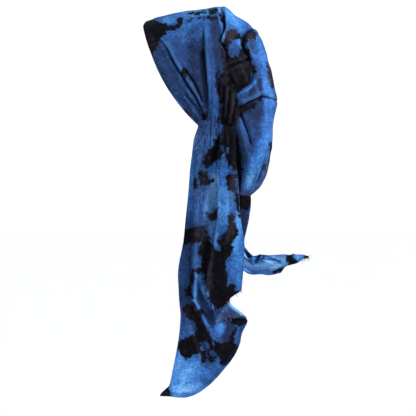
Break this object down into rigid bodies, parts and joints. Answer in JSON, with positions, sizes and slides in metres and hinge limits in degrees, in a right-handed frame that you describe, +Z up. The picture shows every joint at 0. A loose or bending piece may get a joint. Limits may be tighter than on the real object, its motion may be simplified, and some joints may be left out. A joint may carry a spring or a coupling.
{
  "type": "pre-tied tichel",
  "caption": "Slouchy pull-on head wrap of tie-dyed velour, open at the face and nape, with a full pouch at the back and a gathered cloth tie hanging from each side",
  "frame": {"origin": "where the top of the head bears on the inside of the crown", "axes": "+Z up, -Y towards the wearer's face, +X towards the wearer's left"},
  "size_m": [0.2096, 0.3014, 0.6915],
  "materials": {
    "crown_cloth": "tie-dyed stretch velour in bright blue, navy and black, soft short pile",
    "tie_cloth": "the same tie-dyed velour, with a narrow stitched hem along the cut ends"
  },
  "bodies": {
    "root": {"crown": "crown_cloth", "tail_left": "tie_cloth", "tail_right": "tie_cloth"}
  },
  "joints": []
}
